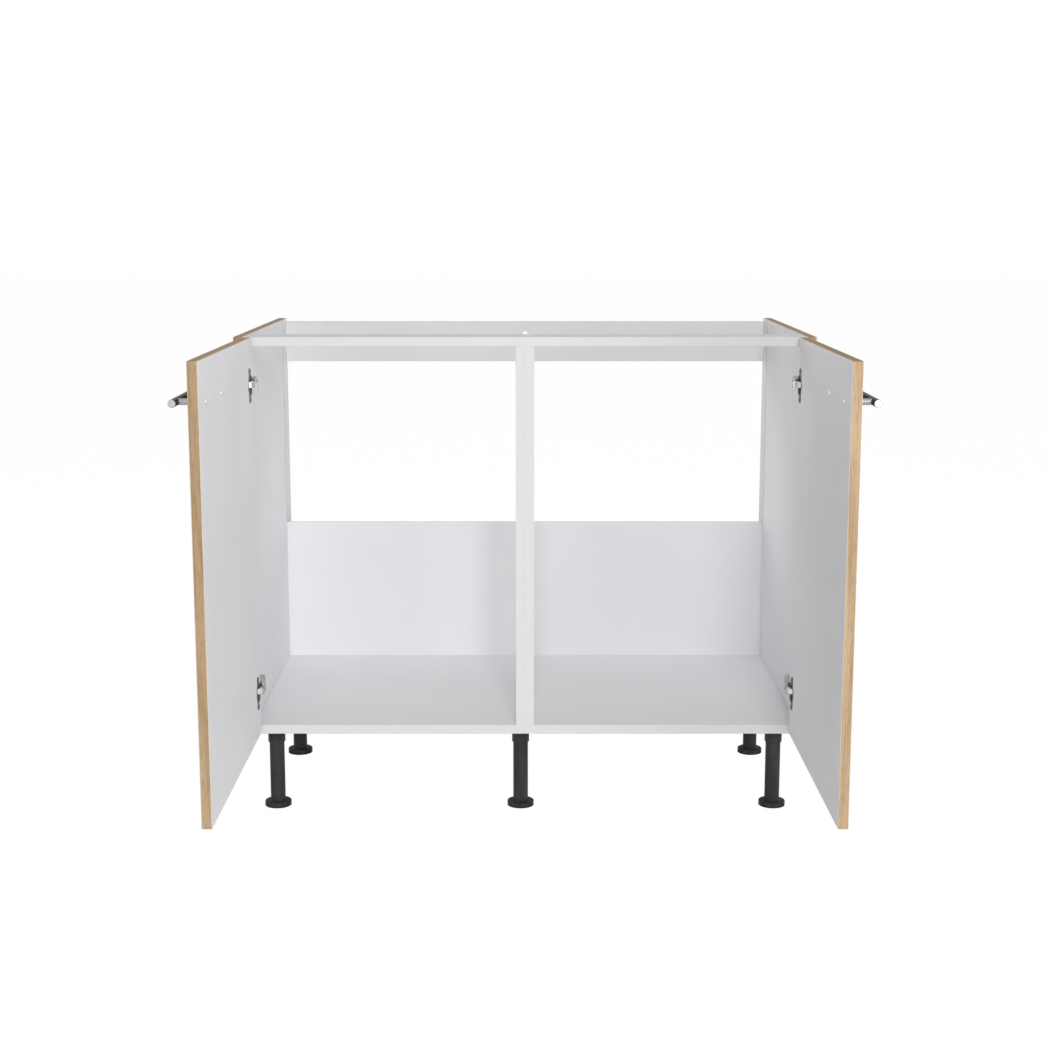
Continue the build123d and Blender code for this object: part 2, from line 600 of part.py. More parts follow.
def inner_link():
    """Goose-necked strip between the outer link's ears, forked where it meets the arm's tongue."""
    neck = Bezier(INNER_ARM_PIN, (26.1, -4.6), (25, -19.8), INNER_PIN)
    strip = trace(neck, line_width=2 * 0.9)
    eye = strip + disc_at(INNER_ARM_PIN, EYE_RADIUS) - disc_at(INNER_ARM_PIN, PIN_RADIUS + 0.05)
    fork = both_faces(eye, INNER_LINK_HALF_WIDTH - INNER_LINK_SHEET, INNER_LINK_HALF_WIDTH)
    full = strip + disc_at(INNER_PIN, EYE_RADIUS - 0.4) - disc_at(INNER_ARM_PIN, EYE_RADIUS + 1.6)
    return fork + plate(full, -INNER_LINK_HALF_WIDTH, INNER_LINK_HALF_WIDTH)


def at_hinge(shape, height):
    return Pos(-INNER_HALF, 0, height) * shape


hinge_pieces = {"cup": hinge_cup(), "arm": hinge_arm(), "outer_link": outer_link(),
                "inner_link": inner_link()}
for place, height in HINGE_HEIGHTS.items():
    for piece, shape in hinge_pieces.items():
        placed = at_hinge(shape, height)
        parts[f"hinge_{piece}_left_{place}"] = placed
        parts[f"hinge_{piece}_right_{place}"] = mirrored(placed)


def at_both_heights(solids):
    return [at_hinge(s, height) for height in HINGE_HEIGHTS.values() for s in solids]


plates_left = at_both_heights([hinge_plate()])
parts["hinge_plates_left"] = group(plates_left)
parts["hinge_plates_right"] = group([mirrored(p) for p in plates_left])
cup_screws_left = at_both_heights(hinge_cup_screws())
parts["hinge_cup_screws_left"] = group(cup_screws_left)
parts["hinge_cup_screws_right"] = group([mirrored(s) for s in cup_screws_left])
cup_pins_left = at_both_heights([hinge_cup_pin()])
parts["hinge_cup_pins_left"] = group(cup_pins_left)
parts["hinge_cup_pins_right"] = group([mirrored(p) for p in cup_pins_left])
for name, solids in (("hinge_plate_screws", hinge_plate_screws()), ("hinge_arm_pins", hinge_arm_pins()),
                     ("hinge_adjusting_screws", hinge_adjusting_screws())):
    left = at_both_heights(solids)
    parts[name] = group(left + [mirrored(s) for s in left])


# ---------------------------------------------------------------------------
# Doors and their bar handles
# ---------------------------------------------------------------------------
HANDLE_HOLE_RADIUS = 2.3
HANDLE_SCREW_RADIUS = 2
HANDLE_SCREW_DEPTH = 10    # how far the screw reaches into the post


def door_left():
    panel = board(DOOR_OUTER_X, DOOR_INNER_X, DOOR_NEAR_Y, DOOR_HINGE_Y, DOOR_BOTTOM, DOOR_TOP,
                  DOOR_EDGE_BREAK)
    for height in HINGE_HEIGHTS.values():
        panel -= rod_x(DOOR_INNER_X - CUP_DEPTH - 0.2, DOOR_INNER_X + 1, CUP_AXIS_Y, height,
                       CUP_RADIUS + 0.05)
        for dz in (-CUP_SCREW_SPACING / 2, CUP_SCREW_SPACING / 2):
            panel -= rod_x(DOOR_INNER_X - CUP_SCREW_REACH - 0.5, DOOR_INNER_X + 1, CUP_SCREW_Y,
                           height + dz, CUP_SCREW_RADIUS + 0.05)
    for y in HANDLE_HOLES_Y:
        panel -= rod_x(DOOR_OUTER_X - 1, DOOR_INNER_X + 1, y, HANDLE_Z, HANDLE_HOLE_RADIUS)
    return panel


def handle_bar():
    start = HANDLE_HOLES_Y[0] - HANDLE_OVERHANG
    end = HANDLE_HOLES_Y[1] + HANDLE_OVERHANG
    bar = rod_y(HANDLE_AXIS_X, start, end, HANDLE_Z, HANDLE_RADIUS)
    return chamfer(bar.edges().filter_by(GeomType.CIRCLE), 0.6)


def handle_post(y):
    """Stand-off saddled on the bar, bored for the screw from inside the door."""
    post = rod_x(HANDLE_AXIS_X + 1, DOOR_OUTER_X, y, HANDLE_Z, HANDLE_POST_RADIUS)
    post -= rod_y(HANDLE_AXIS_X, y - 8, y + 8, HANDLE_Z, HANDLE_RADIUS)
    return post - rod_x(DOOR_OUTER_X - HANDLE_SCREW_DEPTH - 1, DOOR_OUTER_X + 1, y, HANDLE_Z,
                        HANDLE_SCREW_RADIUS + 0.02)


def handle_screw(y):
    shank = rod_x(DOOR_OUTER_X - HANDLE_SCREW_DEPTH, DOOR_INNER_X, y, HANDLE_Z, HANDLE_SCREW_RADIUS)
    return shank + pan_head(DOOR_INNER_X, 2.2, 4.2, y, HANDLE_Z)


left_door_pieces = {
    "door": door_left(),
    "handle_bar": handle_bar(),
    "handle_posts": group([handle_post(y) for y in HANDLE_HOLES_Y]),
    "handle_screws": group([handle_screw(y) for y in HANDLE_HOLES_Y]),
}
for piece, shape in left_door_pieces.items():
    parts[f"{piece}_left"] = shape
    parts[f"{piece}_right"] = group([mirrored(solid) for solid in shape.solids()])


# ---------------------------------------------------------------------------
# Every piece is written in the finished cabinet's own frame
# ---------------------------------------------------------------------------
for name, shape in parts.items():
    export_step(shape.moved(Location((0, -ORIGIN_Y, 0))), f"parts/{name}.step")
print(len(parts), "pieces; origin is", ORIGIN_Y, "mm behind the carcass front")
print("outer link's arm pin", [round(v, 3) for v in OUTER_ARM_PIN])
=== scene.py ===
from math import atan2, floor, pi, radians

import bmesh
import bpy
from mathutils import Matrix, Vector


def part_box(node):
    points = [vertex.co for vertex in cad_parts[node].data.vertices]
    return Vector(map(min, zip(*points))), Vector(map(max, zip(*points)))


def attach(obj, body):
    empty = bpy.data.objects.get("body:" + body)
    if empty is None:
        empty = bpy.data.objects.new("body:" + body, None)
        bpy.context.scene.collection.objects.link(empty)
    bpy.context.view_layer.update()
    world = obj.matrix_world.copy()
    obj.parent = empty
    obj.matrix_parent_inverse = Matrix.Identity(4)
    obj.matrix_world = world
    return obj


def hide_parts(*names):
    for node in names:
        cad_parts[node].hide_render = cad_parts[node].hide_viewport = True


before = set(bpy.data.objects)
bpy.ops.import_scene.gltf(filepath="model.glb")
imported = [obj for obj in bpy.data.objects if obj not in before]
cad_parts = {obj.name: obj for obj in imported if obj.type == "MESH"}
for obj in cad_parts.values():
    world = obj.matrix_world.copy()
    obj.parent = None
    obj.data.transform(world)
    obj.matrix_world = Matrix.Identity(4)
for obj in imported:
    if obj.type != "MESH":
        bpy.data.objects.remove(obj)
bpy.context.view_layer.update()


# ---------------------------------------------------------------------------
# Side panels: 16 mm particle board, pressed with oak decor outside and white
# melamine inside, with an oak band glued on every edge.  The dowel and bolt
# holes and the groove for the back are cut through the white into bare board.
# ---------------------------------------------------------------------------
DEEP = 0.0009          # a surface this far inside a board's faces is drilled or grooved
BAND = 0.0007          # depth of an edge's glued band and its rounded corner
SKIN = 0.00012         # depth of the white film on a face
ON_FACE = 0.0001       # a point no deeper than this is on the face
OAK_LIGHT = (0.560, 0.405, 0.255, 1)
OAK_MID = (0.455, 0.312, 0.180, 1)
OAK_DARK = (0.290, 0.185, 0.098, 1)
OAK_PORE = (0.20, 0.12, 0.06, 1)
OAK_END_PAINTED_SHADE = 0.50      # painted shade: how far upward and downward edges go from the oak's colours to OAK_DARK
CHIP_BROWN = (0.42, 0.34, 0.26, 1)
CHIP_STRAW = (0.68, 0.60, 0.50, 1)
CHIP_DUST = (0.30, 0.22, 0.15, 1)
MELAMINE = (0.868, 0.868, 0.885, 1)
MELAMINE_SHADE = (0.848, 0.848, 0.866, 1)
BAND_CORNER_PAINTED_HIGHLIGHT = (0.720, 0.620, 0.490, 1)  # painted highlight: a cream colour along the band's broken corners
CORNER_WIDTH = 0.0010
OAK_ROUGHNESS = 0.56
WHITE_ROUGHNESS = 0.50
BARE_ROUGHNESS = 0.9
SHEEN_OF_LAMINATE = 0.05


def add(nodes, kind, inputs, **settings):
    """One shader node: its settings, and its inputs as plain values or as other outputs."""
    made = nodes.new(kind)
    for name, value in settings.items():
        setattr(made, name, value)
    for name, value in inputs.items():
        if isinstance(value, bpy.types.NodeSocket):
            nodes.id_data.links.new(value, made.inputs[name])
        else:
            made.inputs[name].default_value = value
    return made


def maths(nodes, operation, a, b=0.0):
    return add(nodes, "ShaderNodeMath", {0: a, 1: b}, operation=operation).outputs[0]


def between(nodes, factor, first, second):
    """A colour that runs from first to second as factor goes from 0 to 1."""
    mix = add(nodes, "ShaderNodeMix", {0: factor, 6: first, 7: second}, data_type="RGBA")
    return mix.outputs[2]


def tinted(nodes, colour, marks, share, shade):
    """A colour with marks of a second shade on it, at a share of their full strength."""
    return between(nodes, maths(nodes, "MULTIPLY", marks, share), colour, shade)


def blend(nodes, factor, first, second):
    """A number that runs from first to second as factor goes from 0 to 1."""
    return add(nodes, "ShaderNodeMix", {0: factor, 2: first, 3: second}).outputs[0]


def grain(nodes, place, scale, detail, distortion=0.0):
    """Noise over place, after place is stretched by scale = (x, y, z) per metre."""
    run = add(nodes, "ShaderNodeMapping", {"Vector": place, "Scale": scale})
    noise = add(nodes, "ShaderNodeTexNoise", {
        "Vector": run.outputs[0], "Scale": 1.0, "Detail": detail, "Distortion": distortion})
    return noise.outputs["Fac"]


def step(nodes, value, low, high):
    """Value spread so that low becomes 0 and high becomes 1."""
    ramp = add(nodes, "ShaderNodeMapRange", {
        "Value": value, "From Min": low, "From Max": high}, interpolation_type="SMOOTHSTEP")
    return ramp.outputs[0]


def bumps(nodes, height, distance, strength):
    bump = add(nodes, "ShaderNodeBump", {
        "Height": height, "Distance": distance, "Strength": strength})
    return bump.outputs[0]


def new_finish(name):
    """An empty material with its shader, and the place on the piece, whole and in parts."""
    material = bpy.data.materials.new(name)
    material.use_nodes = True
    nodes = material.node_tree.nodes
    place = add(nodes, "ShaderNodeTexCoord", {}).outputs["Object"]
    parts = add(nodes, "ShaderNodeSeparateXYZ", {"Vector": place}).outputs
    return material, nodes, nodes["Principled BSDF"], place, parts


def join(nodes, source, shader, socket):
    nodes.id_data.links.new(source, shader.inputs[socket])


def gloss(nodes, shader, variation, smooth, rough):
    """Roughness that runs from smooth to rough with the variation."""
    spread = add(nodes, "ShaderNodeMapRange", {"Value": variation, "To Min": smooth, "To Max": rough})
    join(nodes, spread.outputs[0], shader, "Roughness")


def depth_in_box(nodes, place, node_name):
    """How far a point lies outside the box of a CAD node, per axis; it is negative inside."""
    low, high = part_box(node_name)
    away = add(nodes, "ShaderNodeVectorMath", {0: place, 1: (low + high) / 2}, operation="SUBTRACT")
    size = add(nodes, "ShaderNodeVectorMath", {0: away.outputs[0]}, operation="ABSOLUTE")
    rest = add(nodes, "ShaderNodeVectorMath", {0: size.outputs[0], 1: (high - low) / 2},
               operation="SUBTRACT")
    return add(nodes, "ShaderNodeSeparateXYZ", {"Vector": rest.outputs[0]}).outputs


def drilled(nodes, depths):
    """1 on the walls of holes and grooves."""
    outermost = maths(nodes, "MAXIMUM", maths(nodes, "MAXIMUM", depths[0], depths[1]), depths[2])
    return maths(nodes, "LESS_THAN", outermost, -DEEP)


def bare_board(nodes, place):
    """Pressed wood chips, from straw to brown."""
    chips = grain(nodes, place, (420, 420, 420), 3)
    dust = grain(nodes, place, (1500, 1500, 1500), 1)
    colour = between(nodes, step(nodes, chips, 0.38, 0.62), CHIP_BROWN, CHIP_STRAW)
    return between(nodes, step(nodes, dust, 0.60, 0.75), colour, CHIP_DUST)


def oak(nodes, place):
    """Oak decor with its grain along the third axis of place: colour, and height of the pores."""
    tone = grain(nodes, place, (14, 14, 0.9), 3, 0.3)
    years = grain(nodes, place, (9, 9, 0.55), 1, 0.25)
    rings = maths(nodes, "PINGPONG", maths(nodes, "MULTIPLY", years, 11.0), 0.5)
    streaks = grain(nodes, place, (260, 260, 5.5), 4, 0.4)
    pores = grain(nodes, place, (1150, 1150, 42), 1)
    colour = between(nodes, step(nodes, tone, 0.35, 0.68), OAK_LIGHT, OAK_MID)
    colour = tinted(nodes, colour, step(nodes, rings, 0.30, 0.49), 0.34, OAK_DARK)
    colour = tinted(nodes, colour, step(nodes, streaks, 0.50, 0.68), 0.45, OAK_DARK)
    open_pores = step(nodes, pores, 0.60, 0.70)
    colour = tinted(nodes, colour, open_pores, 0.55, OAK_PORE)
    return colour, maths(nodes, "SUBTRACT", 1.0, open_pores)


def melamine(nodes, place):
    """White melamine: a faint cloudiness, and the fine pearl of the press plate."""
    cloud = grain(nodes, place, (3, 3, 3), 2)
    pearl = grain(nodes, place, (620, 620, 620), 2)
    return between(nodes, step(nodes, cloud, 0.35, 0.7), MELAMINE, MELAMINE_SHADE), pearl


def oak_board(node_name, white_side):
    """Oak all round, white on the face that looks to white_side along X, chips where it is cut."""
    material, nodes, shader, place, parts = new_finish("oak_decor_" + node_name)
    low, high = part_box(node_name)
    face = high.x if white_side > 0 else low.x
    behind = maths(nodes, "MULTIPLY", maths(nodes, "SUBTRACT", parts[0], face), white_side)
    is_white = maths(nodes, "GREATER_THAN", behind, -SKIN)
    depths = depth_in_box(nodes, place, node_name)
    on_end = maths(nodes, "GREATER_THAN", depths[2], -BAND)
    lying = add(nodes, "ShaderNodeCombineXYZ", {0: parts[0], 1: parts[2], 2: parts[1]}).outputs[0]
    run = add(nodes, "ShaderNodeMix", {0: on_end, 4: place, 5: lying}, data_type="VECTOR")
    wood, pores = oak(nodes, run.outputs[1])
    # Painted shade: the edges that face up and down are darkened towards OAK_DARK.
    wood = between(nodes, on_end, wood, between(nodes, OAK_END_PAINTED_SHADE, wood, OAK_DARK))
    # Painted highlight: a cream strip along the corners where the band meets the faces.
    by_rim = maths(nodes, "GREATER_THAN", maths(nodes, "MAXIMUM", depths[1], depths[2]), -CORNER_WIDTH)
    by_face = maths(nodes, "GREATER_THAN", depths[0], -CORNER_WIDTH)
    wood = between(nodes, maths(nodes, "MULTIPLY", by_rim, by_face), wood, BAND_CORNER_PAINTED_HIGHLIGHT)
    white, pearl = melamine(nodes, place)
    cut = drilled(nodes, depths)
    colour = between(nodes, cut, between(nodes, is_white, wood, white), bare_board(nodes, place))
    join(nodes, colour, shader, "Base Color")
    join(nodes, bumps(nodes, blend(nodes, is_white, pores, pearl), 0.00006, 0.55), shader, "Normal")
    pressed = blend(nodes, is_white, OAK_ROUGHNESS, WHITE_ROUGHNESS)
    join(nodes, blend(nodes, cut, pressed, BARE_ROUGHNESS), shader, "Roughness")
    shader.inputs["Specular IOR Level"].default_value = SHEEN_OF_LAMINATE
    return material


def wear(node_name, material):
    """A CAD piece keeps its shape and takes a new finish."""
    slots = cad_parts[node_name].data.materials
    slots.clear()
    slots.append(material)


wear("side_panel_left", oak_board("side_panel_left", 1))
wear("side_panel_right", oak_board("side_panel_right", -1))


# ---------------------------------------------------------------------------
# White boards: bottom panel, both rails and the two boards of the centre post,
# all of white melamine board.  Only the edges that show are banded; the ends
# that meet the sides, the rear edge and every drilled hole are bare board.
# ---------------------------------------------------------------------------
RAIL_TOP_PAINTED_SHADE = (0.790, 0.790, 0.805, 1)     # painted shade: the front rail's upper face is painted a greyer white
EDGE_BAND = (0.757, 0.757, 0.762, 1)    # the glued white band of a front edge
BAND_SEAM = (0.45, 0.45, 0.46, 1)
SEAM_AT = 0.001        # the glue line's distance from the front edge
SEAM_WIDTH = 0.00024
LONG = 0.5             # a board longer than this along X runs from side to side


def white_board(node_name):
    """White faces, a banded front edge with its glue line, and bare board where it is cut."""
    material, nodes, shader, place, parts = new_finish("white_melamine_" + node_name)
    low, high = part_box(node_name)
    depths = depth_in_box(nodes, place, node_name)
    bare = drilled(nodes, depths)
    if high.x - low.x > LONG:
        bare = maths(nodes, "MAXIMUM", bare, maths(nodes, "GREATER_THAN", depths[0], -ON_FACE))
    if node_name == "bottom_panel":
        bare = maths(nodes, "MAXIMUM", bare, maths(nodes, "GREATER_THAN", parts[1], high.y - ON_FACE))
    white, pearl = melamine(nodes, place)
    on_band = maths(nodes, "LESS_THAN", parts[1], low.y + BAND)
    white = between(nodes, on_band, white, EDGE_BAND)
    # Painted shade: the front rail's upper face takes a greyer white than the other faces.
    if node_name == "front_rail":
        on_top = maths(nodes, "GREATER_THAN", parts[2], high.z - ON_FACE)
        white = between(nodes, on_top, white, RAIL_TOP_PAINTED_SHADE)
    seam = maths(nodes, "COMPARE", parts[1], low.y + SEAM_AT)
    seam.node.inputs[2].default_value = SEAM_WIDTH / 2
    white = tinted(nodes, white, seam, 0.35, BAND_SEAM)
    join(nodes, between(nodes, bare, white, bare_board(nodes, place)), shader, "Base Color")
    join(nodes, bumps(nodes, pearl, 0.00005, 0.5), shader, "Normal")
    join(nodes, blend(nodes, bare, WHITE_ROUGHNESS, BARE_ROUGHNESS), shader, "Roughness")
    shader.inputs["Specular IOR Level"].default_value = SHEEN_OF_LAMINATE
    return material


for board in ("bottom_panel", "front_rail", "rear_rail", "centre_post_left_board",
              "centre_post_right_board"):
    wear(board, white_board(board))


# ---------------------------------------------------------------------------
# Back panel: 3 mm hardboard in the grooves of the sides, lacquered white on
# the face that looks into the cabinet, plain brown fibre behind and on its
# edges.
# ---------------------------------------------------------------------------
FIBRE_DARK = (0.27, 0.17, 0.10, 1)
FIBRE_LIGHT = (0.42, 0.29, 0.18, 1)
FELT_SHADE = (0.22, 0.14, 0.08, 1)
FIBRE_ROUGHNESS = 0.85


def hardboard():
    """White lacquer in front, and pressed brown fibre elsewhere."""
    material, nodes, shader, place, parts = new_finish("white_hardboard")
    front = maths(nodes, "LESS_THAN", parts[1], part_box("back_panel")[0].y + ON_FACE)
    fibre = grain(nodes, place, (700, 700, 700), 3)
    felt = grain(nodes, place, (60, 60, 60), 2)
    brown = between(nodes, step(nodes, fibre, 0.3, 0.7), FIBRE_DARK, FIBRE_LIGHT)
    brown = tinted(nodes, brown, step(nodes, felt, 0.4, 0.7), 0.3, FELT_SHADE)
    white, pearl = melamine(nodes, place)
    join(nodes, between(nodes, front, brown, white), shader, "Base Color")
    join(nodes, bumps(nodes, blend(nodes, front, fibre, pearl), 0.00008, 0.6), shader, "Normal")
    join(nodes, blend(nodes, front, FIBRE_ROUGHNESS, WHITE_ROUGHNESS), shader, "Roughness")
    shader.inputs["Specular IOR Level"].default_value = SHEEN_OF_LAMINATE
    return material


wear("back_panel", hardboard())


# ---------------------------------------------------------------------------
# Carcass fasteners: fluted beech dowels, die-cast zinc cams with the necked
# steel bolts that they draw in, and two countersunk screws in the centre post.
# Bolts and screws are cold-headed, with rolled threads and a coat of nickel.
# ---------------------------------------------------------------------------
MM = 0.001
WELD = 0.00001         # points nearer than this become one
SHARP = radians(32)    # edges sharper than this stay hard
DOWEL_LINE = ((0, 0), (3.2, 0), (4, 0.8), (4, 29.2), (3.2, 30), (0, 30))
DOWEL_FLUTES = 16
DOWEL_RIM = 3.9        # points outside this radius lie on the fluted part
FLUTE_SCALE = 0.945
BOLT_LINE = ((0, 34), (1.3, 34), (1.8, 33.5), (1.8, 32.3), (1.2, 31.7), (1.2, 29.4), (1.8, 28.8),
             (1.8, 24), (3, 23.2), (3, 10.4), (2.3, 9.8), (2.3, 0.9), (1.5, 0), (0, 0))
POST_HEAD = ((2.6, 0), (3.95, 0), (4.2, -0.25), (1.8, -3.2))
TURNING = 24           # sides of a turned screw or bolt
POINT = 1.4            # length of a screw's point, in root radii
TIP = 0.3              # radius of its flat tip, in root radii
CROSS_REACH = 0.86     # reach of a cross recess, in radii of the rim round it
CROSS_FLOOR = 0.5      # the recess narrows to this share of itself at its floor
THREAD_STEPS = 16      # sides of one turn of a rolled thread
THREAD_FLAT = 0.12     # of the pitch: its flat crest, and its run before the first flank
THREAD_FLANK = 0.32    # of the pitch
THREAD_ROOTED = 0.1    # how far it starts inside its shank
JOINT_END = 0.494      # where bolts and dowels end inside the sides, from the middle
BOLTS_AT = ((100, 158), (470, 158), (46, 846), (561, 821.5))       # behind the front, above the floor
DOWELS_AT = ((30, 158), (285, 158), (540, 158), (18, 846), (561, 785.5))
BEECH_DARK = (0.58, 0.40, 0.25, 1)
BEECH_LIGHT = (0.72, 0.55, 0.38, 1)
BEECH_FLECK = (0.42, 0.26, 0.15, 1)
CAST_ZINC = ((0.46, 0.46, 0.47, 1), (0.36, 0.36, 0.37, 1))
NICKEL_PLATE = ((0.69, 0.68, 0.66, 1), (0.58, 0.57, 0.55, 1))
carcass_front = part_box("bottom_panel")[0].y


def chain(mesh, points):
    """Edges through (radius, height) points in mm, on the +X side of the Z axis."""
    verts = [mesh.verts.new(Vector((radius, 0, height)) * MM) for radius, height in points]
    return verts + [mesh.edges.new(pair) for pair in zip(verts, verts[1:])]


def turned(mesh, points, steps):
    """The points' line turned right round the Z axis."""
    bmesh.ops.spin(mesh, geom=chain(mesh, points), cent=(0, 0, 0), axis=(0, 0, 1), angle=2 * pi,
                   dvec=(0, 0, 0), steps=steps, use_merge=True)
    bmesh.ops.remove_doubles(mesh, verts=mesh.verts, dist=WELD)


def screwed(mesh, section, pitch, turns, steps):
    """A ridge of a closed four-cornered section that climbs round the Z axis, closed at its ends."""
    bmesh.ops.spin(mesh, geom=chain(mesh, section + section[:1]), cent=(0, 0, 0), axis=(0, 0, 1),
                   angle=2 * pi * turns, dvec=(0, 0, pitch * MM / steps), steps=round(steps * turns))
    bmesh.ops.remove_doubles(mesh, verts=mesh.verts, dist=WELD)
    bmesh.ops.holes_fill(mesh, edges=[e for e in mesh.edges if e.is_boundary], sides=4)


def rolled_thread(mesh, root, crest, pitch, start, turns):
    """A thread that rises from a shank of radius root to radius crest, from height start up."""
    inside = root - THREAD_ROOTED
    low = start + THREAD_FLAT * pitch
    rising = low + THREAD_FLANK * pitch
    falling = rising + THREAD_FLAT * pitch
    high = falling + THREAD_FLANK * pitch
    section = ((inside, low), (crest, rising), (crest, falling), (inside, high))
    screwed(mesh, section, pitch, turns, THREAD_STEPS)


def cross_screw(head, root, crest, pitch, length, grip, arm=1.15, depth=1.5):
    """
    A screw along Z with the top of its head at 0 and its tip at -length.  The head's outline
    starts at the rim round its cross recess; grip is the length that carries the thread, and
    arm and depth are the recess's own.
    """
    mesh = bmesh.new()
    shoulder = POINT * root - length
    turned(mesh, head + ((root, shoulder), (TIP * root, -length), (0, -length)), TURNING)
    rim = [e for e in mesh.edges if e.is_boundary]
    half = CROSS_REACH * head[0][0]
    # A grid of nine cells over the rim: its inner lines move to the sides of the cross's arms,
    # its four corner cells go, and the five that are left sink into the head.
    cross = bmesh.ops.create_grid(mesh, x_segments=3, y_segments=3, size=half * MM)["verts"]
    for vert in cross:
        vert.co = [c * 1.5 * arm / half if abs(c) < 0.5 * half * MM else c for c in vert.co]
        vert.co.z = head[0][1] * MM
    cells = list({f for v in cross for f in v.link_faces})
    middles = [f.calc_center_median() for f in cells]
    corners = [f for f, m in zip(cells, middles) if abs(m.x) > 0.3 * half * MM < abs(m.y)]
    bmesh.ops.delete(mesh, geom=corners, context="FACES")
    lid = [f for f in cells if f.is_valid]
    floor_of = bmesh.ops.extrude_face_region(mesh, geom=lid)["geom"]
    bmesh.ops.delete(mesh, geom=[f for f in lid if f.is_valid], context="FACES")
    sunk = [v for v in floor_of if isinstance(v, bmesh.types.BMVert)]
    bmesh.ops.scale(mesh, vec=(CROSS_FLOOR, CROSS_FLOOR, 1), verts=sunk)
    bmesh.ops.translate(mesh, vec=(0, 0, -depth * MM), verts=sunk)
    mouth = [e for e in mesh.edges if e.is_boundary and e not in rim]
    halved = bmesh.ops.subdivide_edges(mesh, edges=mouth, cuts=1)["geom_split"]
    mouth = [e for e in halved if isinstance(e, bmesh.types.BMEdge) and e.is_boundary]
    bmesh.ops.bridge_loops(mesh, edges=rim + mouth)
    rolled_thread(mesh, root, crest, pitch, shoulder, (grip - POINT * root) / pitch)
    return mesh


def pointing(place, direction):
    """Takes a shape made along +Z to a place, with +Z turned to a direction."""
    turn = Vector(direction).to_track_quat("Z", "Y").to_matrix().to_4x4()
    return Matrix.Translation(place) @ turn


def into_both_ends(spots):
    """Places along X for a fastener that starts inside each side panel and runs inboard."""
    return [pointing((side * JOINT_END, carcass_front + back * MM, up * MM), (-side, 0, 0))
            for side in (-1, 1) for back, up in spots]


def piece_of(mesh, name, body, stands_for, material, places):
    """Makes copies of a mesh one named piece that rides on its body and hides its CAD node."""
    bmesh.ops.remove_doubles(mesh, verts=mesh.verts, dist=WELD)
    bmesh.ops.recalc_face_normals(mesh, faces=mesh.faces)
    shape = bpy.data.meshes.new(name)
    mesh.to_mesh(shape)
    whole = bmesh.new()
    for place in places:
        first = len(whole.verts)
        whole.from_mesh(shape)
        whole.verts.ensure_lookup_table()
        bmesh.ops.transform(whole, matrix=place, verts=whole.verts[first:])
    whole.to_mesh(shape)
    whole.free()
    shape.shade_smooth()
    shape.set_sharp_from_angle(angle=SHARP)
    shape.materials.append(material)
    piece = bpy.data.objects.new(name, shape)
    bpy.context.scene.collection.objects.link(piece)
    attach(piece, body)
    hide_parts(stands_for)


def beech():
    material, nodes, shader, place, _ = new_finish("beech")
    run = grain(nodes, place, (35, 900, 900), 3)
    flecks = grain(nodes, place, (260, 1900, 1900), 1)
    colour = between(nodes, run, BEECH_DARK, BEECH_LIGHT)
    colour = between(nodes, step(nodes, flecks, 0.62, 0.72), colour, BEECH_FLECK)
    join(nodes, colour, shader, "Base Color")
    join(nodes, bumps(nodes, run, 0.0002, 0.5), shader, "Normal")
    shader.inputs["Roughness"].default_value = 0.7
    return material


def metal(name, light, dark, roughness, mottle=(160, 160, 160), relief=0.00002, rim=1.0):
    """
    Plated or cast metal: two close tones over its grain, and a gloss that varies with it.
    rim is how much of a mirror it is where it is seen along its surface.
    """
    material, nodes, shader, place, _ = new_finish(name)
    patches = grain(nodes, place, mottle, 3)
    fine = grain(nodes, place, tuple(8 * m for m in mottle), 2)
    join(nodes, between(nodes, step(nodes, patches, 0.35, 0.65), light, dark), shader, "Base Color")
    shader.inputs["Metallic"].default_value = 1.0
    shader.inputs["Specular Tint"].default_value = (rim, rim, rim, 1)
    gloss(nodes, shader, patches, roughness * 0.8, roughness * 1.25)
    join(nodes, bumps(nodes, fine, relief, 0.6), shader, "Normal")
    return material


cast_zinc = metal("die_cast_zinc", *CAST_ZINC, roughness=0.42, relief=0.00004)
bright_steel = metal("nickel_plated_steel", *NICKEL_PLATE, roughness=0.30, rim=0.7)
wear("cam_fasteners", cast_zinc)

dowel = bmesh.new()
turned(dowel, DOWEL_LINE, 2 * DOWEL_FLUTES)
flutes = [v for v in dowel.verts if v.co.xy.length > DOWEL_RIM * MM
          and round(atan2(v.co.y, v.co.x) / pi * DOWEL_FLUTES) % 2]
bmesh.ops.scale(dowel, vec=(FLUTE_SCALE, FLUTE_SCALE, 1), verts=flutes)
piece_of(dowel, "fluted_dowels", "root", "wooden_dowels", beech(),
         into_both_ends(DOWELS_AT))

bolt = bmesh.new()
turned(bolt, BOLT_LINE, TURNING)
rolled_thread(bolt, root=2.3, crest=3, pitch=1.6, start=0.6, turns=5)
piece_of(bolt, "connecting_bolts", "root", "cam_bolts", bright_steel,
         into_both_ends(BOLTS_AT))

low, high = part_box("post_screws")
axis = (low + high) / 2
post_screw = cross_screw(POST_HEAD, root=1.8, crest=2.4, pitch=2.6, length=50, grip=34)
piece_of(post_screw, "countersunk_post_screws", "root", "post_screws",
         bright_steel, [pointing((axis.x, axis.y, high.z), (0, 0, 1)),
                        pointing((axis.x, axis.y, low.z), (0, 0, -1))])


